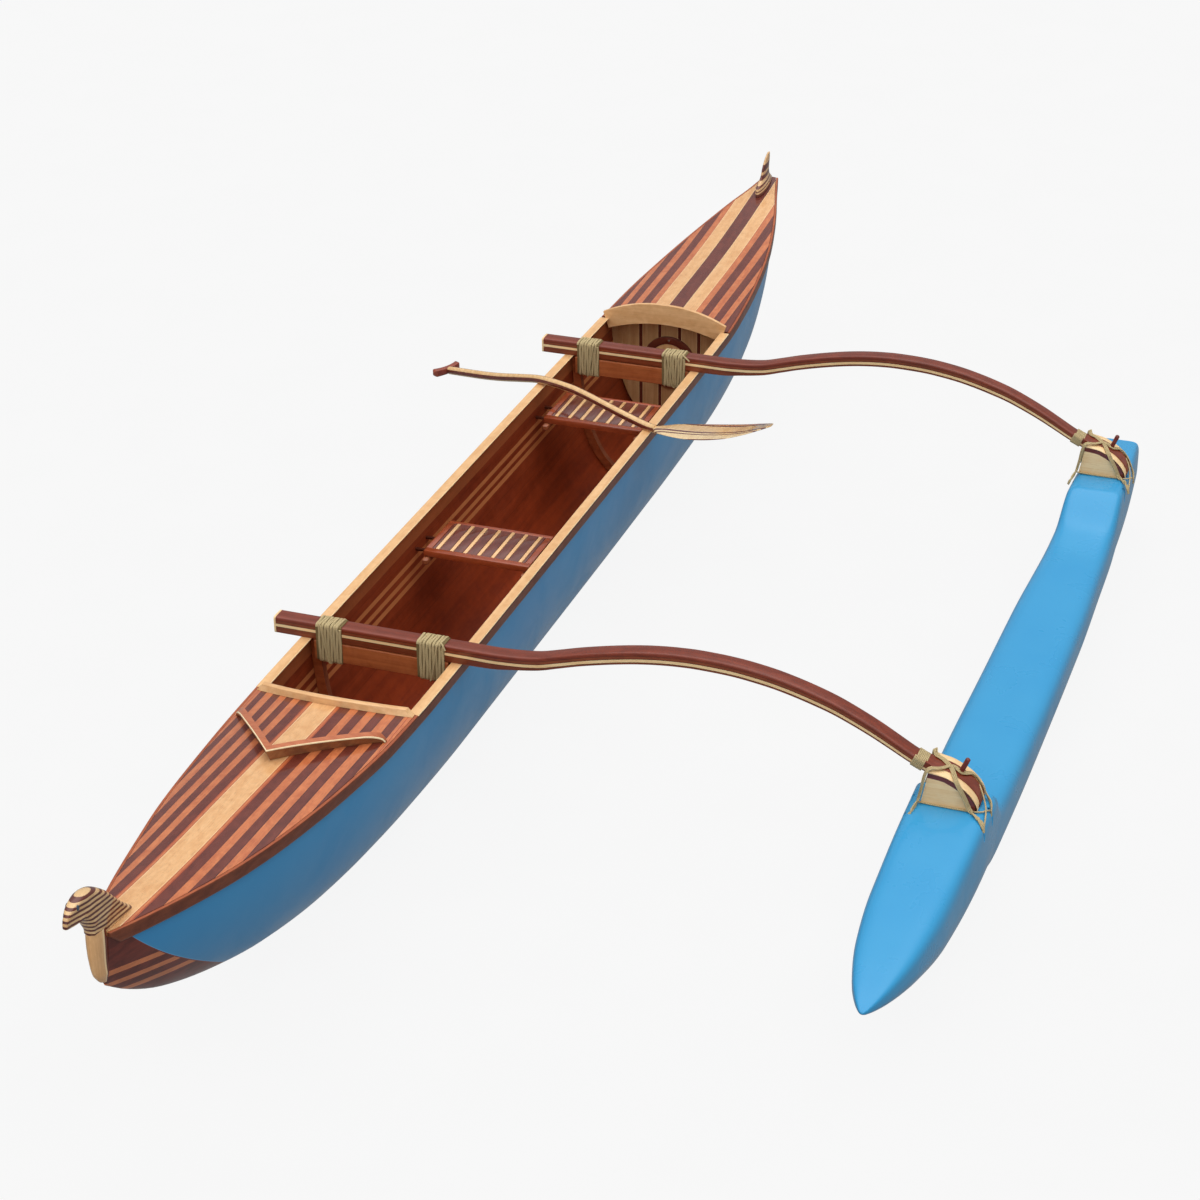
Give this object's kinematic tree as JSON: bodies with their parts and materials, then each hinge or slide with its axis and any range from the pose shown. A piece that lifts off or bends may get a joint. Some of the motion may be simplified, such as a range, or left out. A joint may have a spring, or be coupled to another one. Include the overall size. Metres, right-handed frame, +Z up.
{
  "type": "outrigger canoe",
  "caption": "Slender wooden canoe with crowned end decks, seats and hatches, a float held alongside by two arched crossbeams lashed in place, and a bent-shaft paddle.",
  "frame": {"origin": "middle of the whole canoe's footprint, on the floor that the keel and the float stand on", "axes": "+X forward to the bow, +Y to port, the side of the float, +Z up"},
  "size_m": [5.7069, 2.5688, 0.7691],
  "materials": {
    "blue_paint": "glossy blue paint over glass-sheathed wood strips",
    "striped_deck": "glossy varnish over light, orange and dark strips",
    "light_wood": "clear varnish on light maple-like wood",
    "dark_wood": "glossy varnish on dark red-brown wood",
    "rail_wood": "satin varnish on dark brown wood",
    "orange_wood": "clear varnish on orange-brown wood",
    "red_wood": "satin dark red",
    "cord": "tan cord wound tight"
  },
  "bodies": {
    "canoe": {"hull_shell": "blue_paint", "ama": "blue_paint", "bow_deck": "striped_deck", "stern_deck": "striped_deck", "bird_head": "light_wood", "bow_bulkhead": "light_wood", "bow_coaming": "light_wood", "front_saddle_block": "light_wood", "gunwale_cap_port": "light_wood", "gunwale_cap_starboard": "light_wood", "rear_saddle_block": "light_wood", "stem_band": "light_wood", "stern_bulkhead": "light_wood", "stern_coaming": "light_wood", "bow_hatch_ring": "dark_wood", "front_cleat_port": "dark_wood", "front_cleat_starboard": "dark_wood", "front_frame": "dark_wood", "front_iako": "dark_wood", "front_seat": "dark_wood", "rear_cleat_port": "dark_wood", "rear_cleat_starboard": "dark_wood", "rear_frame": "dark_wood", "rear_iako": "dark_wood", "rear_seat": "dark_wood", "stern_hatch_ring": "dark_wood", "tail_piece": "dark_wood", "rub_rail_port": "rail_wood", "rub_rail_starboard": "rail_wood", "front_brace": "orange_wood", "rear_brace": "orange_wood", "splash_guard": "orange_wood", "front_peg": "red_wood", "rear_peg": "red_wood", "front_ama_lashing": "cord", "front_lashing_port": "cord", "front_lashing_starboard": "cord", "front_whipping": "cord", "rear_ama_lashing": "cord", "rear_lashing_port": "cord", "rear_lashing_starboard": "cord", "rear_whipping": "cord"},
    "paddle": {"paddle_shaft": "light_wood", "paddle_blade": "light_wood", "paddle_grip": "light_wood"},
    "bow_hatch": {"bow_hatch_cover": "light_wood"},
    "stern_hatch": {"stern_hatch_cover": "light_wood"}
  },
  "joints": [
    {"name": "paddle_lift", "type": "slide", "parent": "canoe", "child": "paddle", "axis": [0, 0, 1], "range_m": [0, 0.4]},
    {"name": "bow_hatch_pull", "type": "slide", "parent": "canoe", "child": "bow_hatch", "axis": [-1, 0, 0], "range_m": [0, 0.15]},
    {"name": "stern_hatch_pull", "type": "slide", "parent": "canoe", "child": "stern_hatch", "axis": [1, 0, 0], "range_m": [0, 0.15]}
  ]
}
